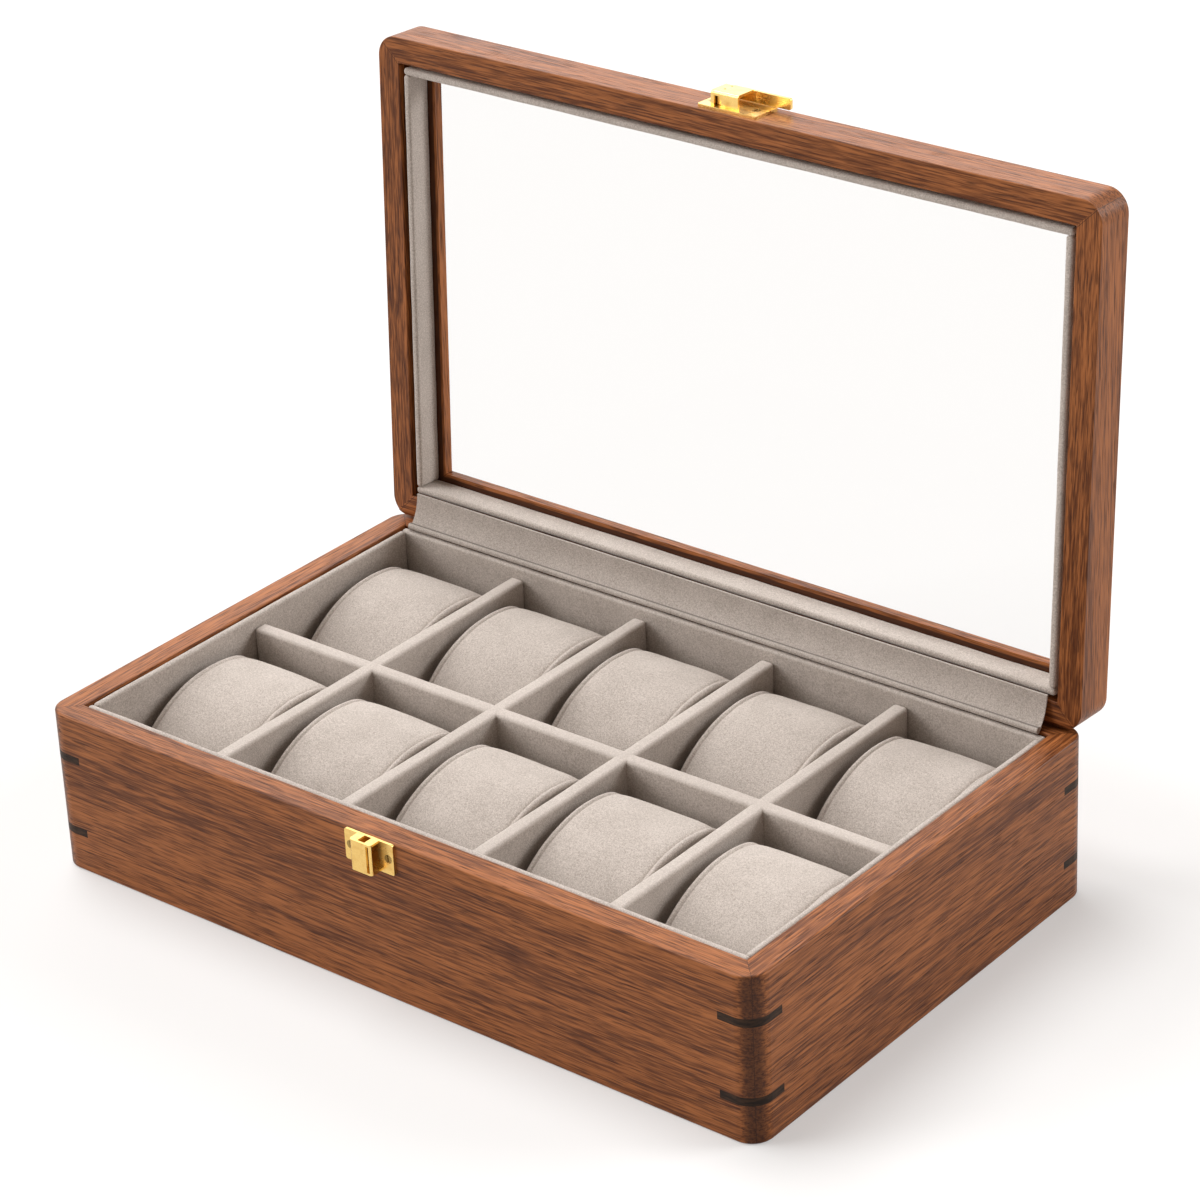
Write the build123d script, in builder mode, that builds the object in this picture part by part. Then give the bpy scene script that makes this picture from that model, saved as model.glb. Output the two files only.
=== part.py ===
from build123d import *
import os
from math import cos, radians, sin, sqrt

os.makedirs("parts", exist_ok=True)

# Overall sizes of the box, in millimetres. The origin is the middle of the underside,
# +X runs along the front to the right, +Y to the hinges and +Z up.
box_width = 320.0
box_depth = 197.0
base_height = 64.5
lid_height = 17.5
wall_thickness = 10.0
corner_radius = 8.5
edge_break = 0.9
inner_edge_break = 0.4

# Keys of dark wood let flush through each mitred corner of the base
spline_thickness = 3.2
spline_leg = 15.0
low_spline_height = 16.6
high_spline_drop = 17.6

# Floor: a board in a rabbet, with felt under it and suede over it
rabbet_width = 5.0
panel_thickness = 6.0
panel_play = 0.2
felt_thickness = 1.2
floor_lining_thickness = 3.0

# Suede-covered boards round the inside
lining_gap = 0.4
lining_thickness = 3.0
lining_drop = 0.6
lining_round = 1.4
lining_play = 0.1

# Padded dividers, half-lapped where they cross
columns = 5
rows = 2
divider_thickness = 6.0
divider_drop = 5.0
divider_round = 2.4
divider_play = 0.2

# Pillows, measured along the row, front to back, and up. Their end view is arched, and highest
# a little behind the middle.
pillow_width = 46.0
pillow_length = 73.0
pillow_height = 48.0
pillow_lift = 0.3
crown_radius = 52.0
crown_offset = 12.0
front_shoulder_radius = 15.0
rear_shoulder_radius = 16.0
foot_radius = 8.0
roll_width = 3.2
roll_depth = 0.9
end_taper = 1.2
body_taper_reach = 14.0
taper_inset = 0.6
end_panel_inset = 4.2
end_panel_depth = 1.4

# Lid frame, its glass and the suede strips inside it
lid_gap = 0.3
lip_start = 11.4
lip_width = 7.6
glass_bearing = 4.0
glass_thickness = 2.0
glass_recess = 0.3
glass_play = 0.2
strip_gap = 1.6
strip_thickness = 2.8
strip_setback = 0.6
strip_round = 1.1

# Hinges: the pin line stands inside the joint, so the open lid rests on the back rim
open_angle = 93.0
hinge_offset = 2.6
hinge_spacing = 200.0
hinge_length = 36.0
knuckle_radius = 2.2
knuckle_play = 0.2
pin_radius = 0.9
pin_clearance = 0.05
leaf_thickness = 1.2
leaf_inset = 0.6
notch_clearance = 0.3
web_width = 2.2
hinge_screw_spacing = 22.0
hinge_screw_inset = 2.2

# Countersunk wood screws of the hinges and the latch
screw_head_radius = 1.6
screw_head_depth = 0.9
screw_shank_radius = 0.9
screw_length = 7.0
screw_clearance = 0.05
screw_slot_width = 0.5
screw_slot_depth = 0.4

# Suede flap over the hinge line
flap_end_gap = 3.5
flap_thickness = 0.9
flap_clearance = 0.35
flap_inset = 5.0
flap_rise = 11.6
flap_lean = 1.2
bead_radius = 1.3
bead_offset = 0.8

# Latch: a sheet-brass keeper on the base, and a housing with a sliding bolt on the lid
tongue_x = -2.5
tongue_width = 2.8
tongue_depth = 3.4
tongue_out = 2.9
tongue_setback = 1.6
bolt_play = 0.2
sheet_thickness = 0.8
keeper_plate_thickness = 1.0
keeper_width = 22.0
keeper_height = 12.0
keeper_drop = 0.4
keeper_housing_width = 9.6
keeper_housing_depth = 5.6
keeper_screw_x = 8.6
keeper_slot_width = 1.2
keeper_slot_margin = 0.9
latch_plate_thickness = 1.0
latch_plate_left = 8.0
latch_plate_right = 18.0
latch_plate_start = 2.0
latch_plate_height = 13.5
latch_housing_left = 3.0
latch_housing_right = 9.0
latch_housing_start = 3.5
latch_housing_height = 10.0
latch_housing_depth = 6.5
latch_left_screw_x = 5.5
latch_right_screw_x = 13.8
latch_screw_height = 8.0
arm_reach = 15.0
arm_thickness = 1.2
arm_lift = 1.0
rivet_hole_radius = 0.45
rivet_hole_x = 0.5
rivet_hole_heights = (7.3, 11.4)
plate_round = 0.8
housing_round = 1.2

# Levels and lines that follow from the sizes above
half_width = box_width / 2
half_depth = box_depth / 2
panel_top = felt_thickness + panel_thickness
floor_top = panel_top + floor_lining_thickness
lining_top = base_height - lining_drop
divider_top = base_height - divider_drop
lining_outer = wall_thickness + lining_gap
lining_inner = lining_outer + lining_thickness
tray_width = box_width - 2 * lining_inner
tray_depth = box_depth - 2 * lining_inner
column_pitch = (tray_width + divider_thickness) / columns
row_pitch = (tray_depth + divider_thickness) / rows
lip_inner = wall_thickness + lip_width
glass_floor = lid_height - glass_recess - glass_thickness
strip_outer = wall_thickness + strip_gap
pin_y = half_depth - hinge_offset
pin_z = base_height + lid_gap + hinge_offset
leaf_front = half_depth - wall_thickness + leaf_inset
tiny = 0.01


def opened(y, z):
    """Where a point of the closed lid goes when the lid is open."""
    turn = radians(open_angle)
    dy = y - pin_y
    dz = z - pin_z
    return pin_y + dy * cos(turn) + dz * sin(turn), pin_z - dy * sin(turn) + dz * cos(turn)


# The open lid's own frame: X along the box, Y to its hinge side, Z from its rim to its top
lid_frame = Plane(
    origin=(0, *opened(0, base_height + lid_gap)),
    x_dir=(1, 0, 0),
    z_dir=(0, sin(radians(open_angle)), cos(radians(open_angle))),
)
lid_inward = Axis((0, 0, 0), lid_frame.y_dir)
lid_upward = Axis((0, 0, 0), lid_frame.z_dir)
# Frames on the front of the base and of the lid: X to the right, Y up when closed, Z outwards
keeper_frame = Plane(origin=(tongue_x, -half_depth, base_height), x_dir=(1, 0, 0), z_dir=(0, -1, 0))
latch_frame = Plane(
    origin=lid_frame.from_local_coords((tongue_x, -half_depth, 0)),
    x_dir=(1, 0, 0),
    z_dir=-lid_frame.y_dir,
)


def side_outline(side, near, far):
    """Corners of one mitred side of the box, between two distances in from the outside."""
    x_near, y_near = half_width - near, half_depth - near
    x_far, y_far = half_width - far, half_depth - far
    return {
        "front": [(-x_near, -y_near), (x_near, -y_near), (x_far, -y_far), (-x_far, -y_far)],
        "rear": [(x_near, y_near), (-x_near, y_near), (-x_far, y_far), (x_far, y_far)],
        "left": [(-x_near, y_near), (-x_near, -y_near), (-x_far, -y_far), (-x_far, y_far)],
        "right": [(x_near, -y_near), (x_near, y_near), (x_far, y_far), (x_far, -y_far)],
    }[side]


def mitred_side(frame, side, near, far, start, end, mode=Mode.ADD):
    """One mitred side as a solid, its outside rounded with the corners of the box."""
    with BuildSketch(frame.offset(start)) as outline:
        with BuildLine():
            Polyline(*side_outline(side, near, far), close=True)
        make_face()
        RectangleRounded(box_width, box_depth, corner_radius, mode=Mode.INTERSECT)
    extrude(outline.sketch, amount=end - start, mode=mode)


def slab(frame, across, up, out, mode=Mode.ADD):
    """A plain block in a frame, from its low and high limits along X, Y and Z."""
    with BuildSketch(frame.offset(out[0])) as outline:
        with Locations(((across[0] + across[1]) / 2, (up[0] + up[1]) / 2)):
            Rectangle(across[1] - across[0], up[1] - up[0])
    extrude(outline.sketch, amount=out[1] - out[0], mode=mode)


def rim_edges(part, frame, side, level, depth):
    """The edges of one side that lie at one level, a given distance in from the outside."""
    found = ShapeList()
    for edge in part.edges():
        place = frame.to_local_coords(edge.center())
        inward = {
            "front": half_depth + place.Y,
            "rear": half_depth - place.Y,
            "left": half_width + place.X,
            "right": half_width - place.X,
        }[side]
        if abs(place.Z - level) < tiny and abs(inward - depth) < 0.3 * corner_radius:
            found.append(edge)
    return found


def screw(place):
    """A countersunk screw whose head lies in the place's plane, facing along its Z."""
    top = (Align.CENTER, Align.CENTER, Align.MAX)
    with Locations(place):
        Cone(screw_shank_radius, screw_head_radius, screw_head_depth, align=top)
    with Locations(place.offset(-screw_head_depth)):
        Cylinder(screw_shank_radius, screw_length - 2 * screw_head_depth, align=top)
    with Locations(place.offset(screw_head_depth - screw_length)):
        Cone(0.2 * screw_shank_radius, screw_shank_radius, screw_head_depth, align=top)
    with Locations(place):
        Box(2 * screw_head_radius, screw_slot_width, screw_slot_depth, align=top, mode=Mode.SUBTRACT)


def screw_hole(place):
    """The countersunk hole that such a screw fits, with its clearance."""
    top = (Align.CENTER, Align.CENTER, Align.MAX)
    shank = screw_shank_radius + screw_clearance
    with Locations(place):
        Cone(shank, screw_head_radius + screw_clearance, screw_head_depth, align=top, mode=Mode.SUBTRACT)
        Cylinder(shank, screw_length + screw_clearance, align=top, mode=Mode.SUBTRACT)


sides = ("front", "rear", "left", "right")
hinge_places = {"left": -hinge_spacing / 2, "right": hinge_spacing / 2}
base_screw_places = {
    hinge: [
        Plane(origin=(x + step, leaf_front + hinge_screw_inset, base_height), z_dir=(0, 0, 1))
        for step in (-hinge_screw_spacing / 2, hinge_screw_spacing / 2)
    ]
    for hinge, x in hinge_places.items()
}
lid_screw_places = {
    hinge: [
        Plane(
            origin=lid_frame.from_local_coords((x + step, leaf_front + hinge_screw_inset, 0)),
            z_dir=-lid_frame.z_dir,
        )
        for step in (-hinge_screw_spacing / 2, hinge_screw_spacing / 2)
    ]
    for hinge, x in hinge_places.items()
}
keeper_screw_places = [
    Plane(
        origin=keeper_frame.from_local_coords(
            (x, -keeper_drop - keeper_height / 2, keeper_plate_thickness)
        ),
        z_dir=keeper_frame.z_dir,
    )
    for x in (-keeper_screw_x, keeper_screw_x)
]
latch_screw_places = [
    Plane(
        origin=latch_frame.from_local_coords((x, latch_screw_height, latch_plate_thickness)),
        z_dir=latch_frame.z_dir,
    )
    for x in (-latch_left_screw_x, latch_right_screw_x)
]
spline_levels = (low_spline_height, base_height - high_spline_drop)


def spline_outline(x_side, y_side):
    """The triangle of a key across the corner on the given side of X and of Y."""
    x, y = x_side * half_width, y_side * half_depth
    with BuildLine() as outline:
        Polyline((x, y), (x - x_side * spline_leg, y), (x, y - y_side * spline_leg), close=True)
    make_face(outline.edges())


corners = ((-1, -1), (1, -1), (1, 1), (-1, 1))

# The four walls of the base
for side in sides:
    with BuildPart() as wall:
        mitred_side(Plane.XY, side, 0, wall_thickness, 0, base_height)
        mitred_side(
            Plane.XY, side, wall_thickness - rabbet_width, wall_thickness, 0, panel_top, Mode.SUBTRACT
        )
        fillet(rim_edges(wall, Plane.XY, side, base_height, 0), edge_break)
        fillet(rim_edges(wall, Plane.XY, side, 0, 0), edge_break)
        fillet(rim_edges(wall, Plane.XY, side, base_height, wall_thickness), inner_edge_break)
        for level in spline_levels:
            for corner in corners:
                with BuildSketch(Plane.XY.offset(level - spline_thickness / 2)):
                    spline_outline(*corner)
                extrude(amount=spline_thickness, mode=Mode.SUBTRACT)
        if side == "rear":
            for hinge, x in hinge_places.items():
                slab(
                    Plane.XY,
                    (x - hinge_length / 2, x + hinge_length / 2),
                    (leaf_front, pin_y + web_width / 2),
                    (base_height - leaf_thickness, base_height),
                    Mode.SUBTRACT,
                )
                for place in base_screw_places[hinge]:
                    screw_hole(place)
        if side == "front":
            for place in keeper_screw_places:
                screw_hole(place)
    wall.part.label = f"{side}_wall"
    export_step(wall.part, f"parts/{side}_wall.step")

# Two keys at each corner, flush with the rounded outside
with BuildPart() as corner_splines:
    for level in spline_levels:
        for corner in corners:
            with BuildSketch(Plane.XY.offset(level - spline_thickness / 2)):
                spline_outline(*corner)
                RectangleRounded(box_width, box_depth, corner_radius, mode=Mode.INTERSECT)
            extrude(amount=spline_thickness)
corner_splines.part.label = "corner_splines"
export_step(corner_splines.part, "parts/corner_splines.step")

# The floor board and the felt under it fill the rabbet
panel_width = box_width - 2 * (wall_thickness - rabbet_width + panel_play)
panel_depth = box_depth - 2 * (wall_thickness - rabbet_width + panel_play)
with BuildPart() as underside_felt:
    with BuildSketch():
        Rectangle(panel_width, panel_depth)
    extrude(amount=felt_thickness)
underside_felt.part.label = "underside_felt"
export_step(underside_felt.part, "parts/underside_felt.step")

with BuildPart() as bottom_panel:
    with BuildSketch(Plane.XY.offset(felt_thickness)):
        Rectangle(panel_width, panel_depth)
    extrude(amount=panel_thickness)
bottom_panel.part.label = "bottom_panel"
export_step(bottom_panel.part, "parts/bottom_panel.step")

# Suede-covered floor and sides of the tray
with BuildPart() as lining_floor:
    with BuildSketch(Plane.XY.offset(panel_top)):
        Rectangle(box_width - 2 * lining_outer, box_depth - 2 * lining_outer)
    extrude(amount=floor_lining_thickness)
lining_floor.part.label = "lining_floor"
export_step(lining_floor.part, "parts/lining_floor.step")

lining_places = {
    "front": (0, lining_thickness / 2 + lining_outer - half_depth),
    "rear": (0, half_depth - lining_outer - lining_thickness / 2),
    "left": (lining_thickness / 2 + lining_outer - half_width, 0),
    "right": (half_width - lining_outer - lining_thickness / 2, 0),
}
for side in sides:
    with BuildPart() as lining:
        with BuildSketch(Plane.XY.offset(floor_top)):
            with Locations(lining_places[side]):
                if side in ("front", "rear"):
                    Rectangle(box_width - 2 * lining_outer, lining_thickness)
                else:
                    Rectangle(lining_thickness, tray_depth - 2 * lining_play)
        extrude(amount=lining_top - floor_top)
        long_way = Axis.X if side in ("front", "rear") else Axis.Y
        fillet(lining.edges().filter_by(long_way).group_by(Axis.Z)[-1], lining_round)
    lining.part.label = f"lining_{side}"
    export_step(lining.part, f"parts/lining_{side}.step")

# One long divider, slotted from above for the cross dividers
divider_height = divider_top - floor_top
lap_level = floor_top + divider_height / 2
cross_places = [column_pitch * (n + 1) - (tray_width + divider_thickness) / 2 for n in range(columns - 1)]
with BuildPart() as long_divider:
    with BuildSketch(Plane.XY.offset(floor_top)):
        Rectangle(tray_width - 2 * divider_play, divider_thickness)
    extrude(amount=divider_height)
    fillet(long_divider.edges().filter_by(Axis.X).group_by(Axis.Z)[-1], divider_round)
    for x in cross_places:
        half_slot = divider_thickness / 2 + divider_play / 2
        slab(
            Plane.XY,
            (x - half_slot, x + half_slot),
            (-divider_thickness, divider_thickness),
            (lap_level, divider_top),
            Mode.SUBTRACT,
        )
long_divider.part.label = "long_divider"
export_step(long_divider.part, "parts/long_divider.step")

# Cross dividers run unbroken over the long one, and are slotted from below
for number, x in enumerate(cross_places, start=1):
    with BuildPart() as cross_divider:
        with BuildSketch(Plane.XY.offset(floor_top)):
            with Locations((x, 0)):
                Rectangle(divider_thickness, tray_depth - 2 * divider_play)
        extrude(amount=divider_height)
        fillet(cross_divider.edges().filter_by(Axis.Y).group_by(Axis.Z)[-1], divider_round)
        half_slot = divider_thickness / 2 + divider_play / 2
        slab(
            Plane.XY,
            (x - divider_thickness, x + divider_thickness),
            (-half_slot, half_slot),
            (floor_top, lap_level),
            Mode.SUBTRACT,
        )
    cross_divider.part.label = f"cross_divider_{number}"
    export_step(cross_divider.part, f"parts/cross_divider_{number}.step")


def pillow_outline(middle, inset, foot_level=0):
    """The arched end view of a pillow on its flat foot, drawn in all round by the inset."""
    half = pillow_length / 2 - inset
    foot = foot_radius - inset
    foot_bulge = foot * (1 - sqrt(0.5))
    crown = Vector(middle + crown_offset, pillow_height - crown_radius)
    turns = []
    with BuildLine() as outline:
        Line((middle - half + foot, foot_level), (middle + half - foot, foot_level))
        for way, radius in ((-1, front_shoulder_radius), (1, rear_shoulder_radius)):
            side = middle + way * half
            shoulder_y = middle + way * (pillow_length / 2 - radius)
            rise = sqrt((crown_radius - radius) ** 2 - (shoulder_y - crown.X) ** 2)
            shoulder = Vector(shoulder_y, crown.Y + rise)
            lean = (shoulder - crown).normalized()
            bulge = shoulder + (lean + Vector(way, 0)).normalized() * (radius - inset)
            turn = crown + lean * (crown_radius - inset)
            turns.append((turn.X, turn.Y))
            ThreePointArc(
                (side - way * foot, foot_level),
                (side - way * foot_bulge, foot_level + foot_bulge),
                (side, foot_level + foot),
            )
            Line((side, foot_level + foot), (side, shoulder.Y))
            ThreePointArc((side, shoulder.Y), (bulge.X, bulge.Y), turns[-1])
        ThreePointArc(turns[0], (crown.X, crown.Y + crown_radius - inset), turns[1])
    make_face(outline.edges())


# Pillows: a crowned body, and at each end a rolled edge round a sunk end panel
body_reach = pillow_width / 2 - roll_width
seam_inset = end_taper + roll_depth
body_stations = [
    (-body_reach, seam_inset),
    (-body_taper_reach, taper_inset),
    (0, 0),
    (body_taper_reach, taper_inset),
    (body_reach, seam_inset),
]
roll_turns = (180, 135, 90, 45, 0)
pillow_rows = {"front": -row_pitch / 2, "rear": row_pitch / 2}
for row, y in pillow_rows.items():
    for column in range(columns):
        x = column_pitch * (column - (columns - 1) / 2)
        pillow_floor = floor_top + pillow_lift
        with BuildPart() as pillow:
            for step, inset in body_stations:
                end_view = Plane(origin=(x + step, 0, pillow_floor), x_dir=(0, 1, 0), z_dir=(1, 0, 0))
                with BuildSketch(end_view):
                    pillow_outline(y, inset)
            loft()
            for way in (-1, 1):
                for turn in roll_turns:
                    step = way * (pillow_width / 2 - roll_width * (1 - cos(radians(turn))) / 2)
                    inset = seam_inset - roll_depth * sin(radians(turn))
                    end_view = Plane(origin=(x + step, 0, pillow_floor), x_dir=(0, 1, 0), z_dir=(1, 0, 0))
                    with BuildSketch(end_view):
                        pillow_outline(y, inset)
                loft(ruled=True)
                end_view = Plane(
                    origin=(x + way * pillow_width / 2, 0, pillow_floor), x_dir=(0, 1, 0), z_dir=(1, 0, 0)
                )
                with BuildSketch(end_view):
                    pillow_outline(y, end_panel_inset + end_taper, end_panel_inset)
                extrude(amount=-way * end_panel_depth, mode=Mode.SUBTRACT)
        pillow.part.label = f"pillow_{row}_{column + 1}"
        export_step(pillow.part, f"parts/pillow_{row}_{column + 1}.step")

# The lid's rear rail is rounded about the pin line, so that it turns clear of the base
hinge_corner = Plane(
    origin=lid_frame.from_local_coords((half_width, half_depth, 0)),
    x_dir=-lid_frame.y_dir,
    z_dir=-lid_frame.x_dir,
)
knuckle_reach = knuckle_radius + notch_clearance

# The lid's four rails: a wall, an inward lip, and a rabbet in the lip's top for the glass
for side in sides:
    with BuildPart() as rail:
        mitred_side(lid_frame, side, 0, wall_thickness, 0, lid_height)
        mitred_side(lid_frame, side, 0, lip_inner, lip_start, lid_height)
        mitred_side(
            lid_frame, side, lip_inner - glass_bearing, lip_inner, glass_floor, lid_height, Mode.SUBTRACT
        )
        fillet(rim_edges(rail, lid_frame, side, lid_height, 0), edge_break)
        fillet(rim_edges(rail, lid_frame, side, 0, wall_thickness), inner_edge_break)
        if side != "rear":
            fillet(rim_edges(rail, lid_frame, side, 0, 0), inner_edge_break)
        else:
            with BuildSketch(hinge_corner):
                Rectangle(hinge_offset, hinge_offset, align=(Align.MIN, Align.MIN))
                with Locations((hinge_offset, hinge_offset)):
                    Circle(hinge_offset, mode=Mode.SUBTRACT)
            extrude(amount=box_width, mode=Mode.SUBTRACT)
            for hinge, x in hinge_places.items():
                across = (x - hinge_length / 2, x + hinge_length / 2)
                slab(lid_frame, across, (leaf_front, pin_y), (0, leaf_thickness), Mode.SUBTRACT)
                slab(
                    lid_frame,
                    across,
                    (pin_y - knuckle_reach, half_depth),
                    (0, hinge_offset + knuckle_reach),
                    Mode.SUBTRACT,
                )
                for place in lid_screw_places[hinge]:
                    screw_hole(place)
        if side == "front":
            for place in latch_screw_places:
                screw_hole(place)
    rail.part.label = f"lid_{side}_rail"
    export_step(rail.part, f"parts/lid_{side}_rail.step")

# The pane drops into the rabbet from above
glass_edge = lip_inner - glass_bearing + glass_play
with BuildPart() as glass_panel:
    slab(
        lid_frame,
        (glass_edge - half_width, half_width - glass_edge),
        (glass_edge - half_depth, half_depth - glass_edge),
        (glass_floor, glass_floor + glass_thickness),
    )
glass_panel.part.label = "glass_panel"
export_step(glass_panel.part, "parts/glass_panel.step")

# Suede strips stand against the lip round the inside of the lid
strip_x = half_width - strip_outer
strip_y = half_depth - strip_outer
short_y = strip_y - strip_thickness - lining_play
strip_places = {
    "front": ((-strip_x, strip_x), (-strip_y, strip_thickness - strip_y)),
    "rear": ((-strip_x, strip_x), (strip_y - strip_thickness, strip_y)),
    "left": ((-strip_x, strip_thickness - strip_x), (-short_y, short_y)),
    "right": ((strip_x - strip_thickness, strip_x), (-short_y, short_y)),
}
for side in sides:
    with BuildPart() as strip:
        slab(lid_frame, *strip_places[side], (strip_setback, lip_start))
        long_way = Axis.X if side in ("front", "rear") else lid_inward
        fillet(strip.edges().filter_by(long_way).group_by(lid_upward)[0], strip_round)
    strip.part.label = f"lid_strip_{side}"
    export_step(strip.part, f"parts/lid_strip_{side}.step")

# Two hinges: outer knuckles on the base leaf, a middle one on the lid leaf, one pin through all
knuckle_length = (hinge_length - 2 * knuckle_play) / 3
knuckle_step = knuckle_length + knuckle_play
bore_radius = pin_radius + pin_clearance


def knuckle(x, radius, length, mode=Mode.ADD):
    """A cylinder on the pin line, centred along the box at x."""
    with BuildSketch(Plane(origin=(x - length / 2, pin_y, pin_z), z_dir=(1, 0, 0))) as ring:
        Circle(radius)
    extrude(ring.sketch, amount=length, mode=mode)


for hinge, x in hinge_places.items():
    across = (x - hinge_length / 2, x + hinge_length / 2)
    with BuildPart() as base_leaf:
        slab(
            Plane.XY,
            across,
            (leaf_front, pin_y + web_width / 2),
            (base_height - leaf_thickness, base_height),
        )
        for way in (-1, 1):
            middle = x + way * knuckle_step
            slab(
                Plane.XY,
                (middle - knuckle_length / 2, middle + knuckle_length / 2),
                (pin_y - web_width / 2, pin_y + web_width / 2),
                (base_height - leaf_thickness, pin_z),
            )
            knuckle(middle, knuckle_radius, knuckle_length)
        knuckle(x, bore_radius, hinge_length, Mode.SUBTRACT)
        for place in base_screw_places[hinge]:
            screw_hole(place)
    base_leaf.part.label = f"hinge_{hinge}_base_leaf"
    export_step(base_leaf.part, f"parts/hinge_{hinge}_base_leaf.step")

    with BuildPart() as lid_leaf:
        slab(lid_frame, across, (leaf_front, pin_y - knuckle_reach), (0, leaf_thickness))
        slab(
            lid_frame,
            (x - knuckle_length / 2, x + knuckle_length / 2),
            (pin_y - knuckle_reach, pin_y),
            (0, hinge_offset),
        )
        knuckle(x, knuckle_radius, knuckle_length)
        knuckle(x, bore_radius, hinge_length, Mode.SUBTRACT)
        for place in lid_screw_places[hinge]:
            screw_hole(place)
    lid_leaf.part.label = f"hinge_{hinge}_lid_leaf"
    export_step(lid_leaf.part, f"parts/hinge_{hinge}_lid_leaf.step")

    with BuildPart() as pin:
        knuckle(x, pin_radius, hinge_length)
    pin.part.label = f"hinge_{hinge}_pin"
    export_step(pin.part, f"parts/hinge_{hinge}_pin.step")

with BuildPart() as hinge_base_screws:
    for places in base_screw_places.values():
        for place in places:
            screw(place)
hinge_base_screws.part.label = "hinge_base_screws"
export_step(hinge_base_screws.part, "parts/hinge_base_screws.step")

with BuildPart() as hinge_lid_screws:
    for places in lid_screw_places.values():
        for place in places:
            screw(place)
hinge_lid_screws.part.label = "hinge_lid_screws"
export_step(hinge_lid_screws.part, "parts/hinge_lid_screws.step")

# The flap: a rolled bead on the rear lining, and a band from it up to the lid's rear strip
flap_half = half_width - wall_thickness - flap_end_gap
bead_y = lining_places["rear"][1] + bead_offset
bead_z = lining_top + bead_radius + flap_clearance
flap_top_y = half_depth - flap_inset
flap_top_z = base_height + flap_rise
with BuildPart() as hinge_flap:
    with BuildSketch(Plane(origin=(-flap_half, 0, 0), x_dir=(0, 1, 0), z_dir=(1, 0, 0))):
        with Locations((bead_y, bead_z)):
            Circle(bead_radius)
        with BuildLine():
            Polyline(
                (bead_y, bead_z + 0.7 * bead_radius),
                (flap_top_y - flap_thickness, flap_top_z),
                (flap_top_y, flap_top_z),
                (flap_top_y - flap_lean, bead_z),
                (bead_y, bead_z - 0.3 * bead_radius),
                close=True,
            )
        make_face()
    extrude(amount=2 * flap_half)
    fillet(hinge_flap.edges().filter_by(Axis.X).group_by(Axis.Z)[-1], 0.4 * flap_thickness)
hinge_flap.part.label = "hinge_flap"
export_step(hinge_flap.part, "parts/hinge_flap.step")

# Keeper on the base: a plate, and a folded sheet housing with a square hole for the tongue
keeper_top = -keeper_drop
keeper_foot = keeper_top - keeper_height
keeper_side = keeper_housing_width / 2
with BuildPart() as keeper_plate:
    slab(
        keeper_frame,
        (-keeper_width / 2, keeper_width / 2),
        (keeper_foot, keeper_top),
        (0, keeper_plate_thickness),
    )
    fillet(keeper_plate.edges().filter_by(Axis.Y), plate_round)
    for place in keeper_screw_places:
        screw_hole(place)
keeper_plate.part.label = "keeper_plate"
export_step(keeper_plate.part, "parts/keeper_plate.step")

tongue_hole = tongue_width + 2 * bolt_play
tongue_hole_back = tongue_out - tongue_depth / 2 - bolt_play
tongue_hole_front = tongue_out + tongue_depth / 2 + bolt_play
with BuildPart() as keeper_housing:
    slab(
        keeper_frame,
        (-keeper_side, keeper_side),
        (keeper_foot, keeper_top),
        (keeper_plate_thickness, keeper_housing_depth),
    )
    fillet(keeper_housing.edges().filter_by(Axis.Z).group_by(Axis.Y)[0], housing_round)
    slab(
        keeper_frame,
        (sheet_thickness - keeper_side, keeper_side),
        (keeper_foot + sheet_thickness, keeper_top - sheet_thickness),
        (keeper_plate_thickness, keeper_housing_depth - sheet_thickness),
        Mode.SUBTRACT,
    )
    slab(
        keeper_frame,
        (-tongue_hole / 2, tongue_hole / 2),
        (keeper_top - 2 * sheet_thickness, keeper_top),
        (tongue_hole_back, tongue_hole_front),
        Mode.SUBTRACT,
    )
    slab(
        keeper_frame,
        (keeper_side - keeper_slot_margin - keeper_slot_width, keeper_side - keeper_slot_margin),
        (keeper_foot + sheet_thickness, keeper_top - sheet_thickness),
        (keeper_housing_depth - sheet_thickness, keeper_housing_depth),
        Mode.SUBTRACT,
    )
keeper_housing.part.label = "keeper_housing"
export_step(keeper_housing.part, "parts/keeper_housing.step")

with BuildPart() as keeper_screws:
    for place in keeper_screw_places:
        screw(place)
keeper_screws.part.label = "keeper_screws"
export_step(keeper_screws.part, "parts/keeper_screws.step")

# Latch on the lid: a wider plate, and a housing open above and to the right for the bolt
latch_top = latch_housing_start + latch_housing_height
with BuildPart() as latch_plate:
    slab(
        latch_frame,
        (-latch_plate_left, latch_plate_right),
        (latch_plate_start, latch_plate_start + latch_plate_height),
        (0, latch_plate_thickness),
    )
    outward = Axis((0, 0, 0), latch_frame.z_dir)
    fillet(latch_plate.edges().filter_by(outward), plate_round)
    for place in latch_screw_places:
        screw_hole(place)
latch_plate.part.label = "latch_plate"
export_step(latch_plate.part, "parts/latch_plate.step")

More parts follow.
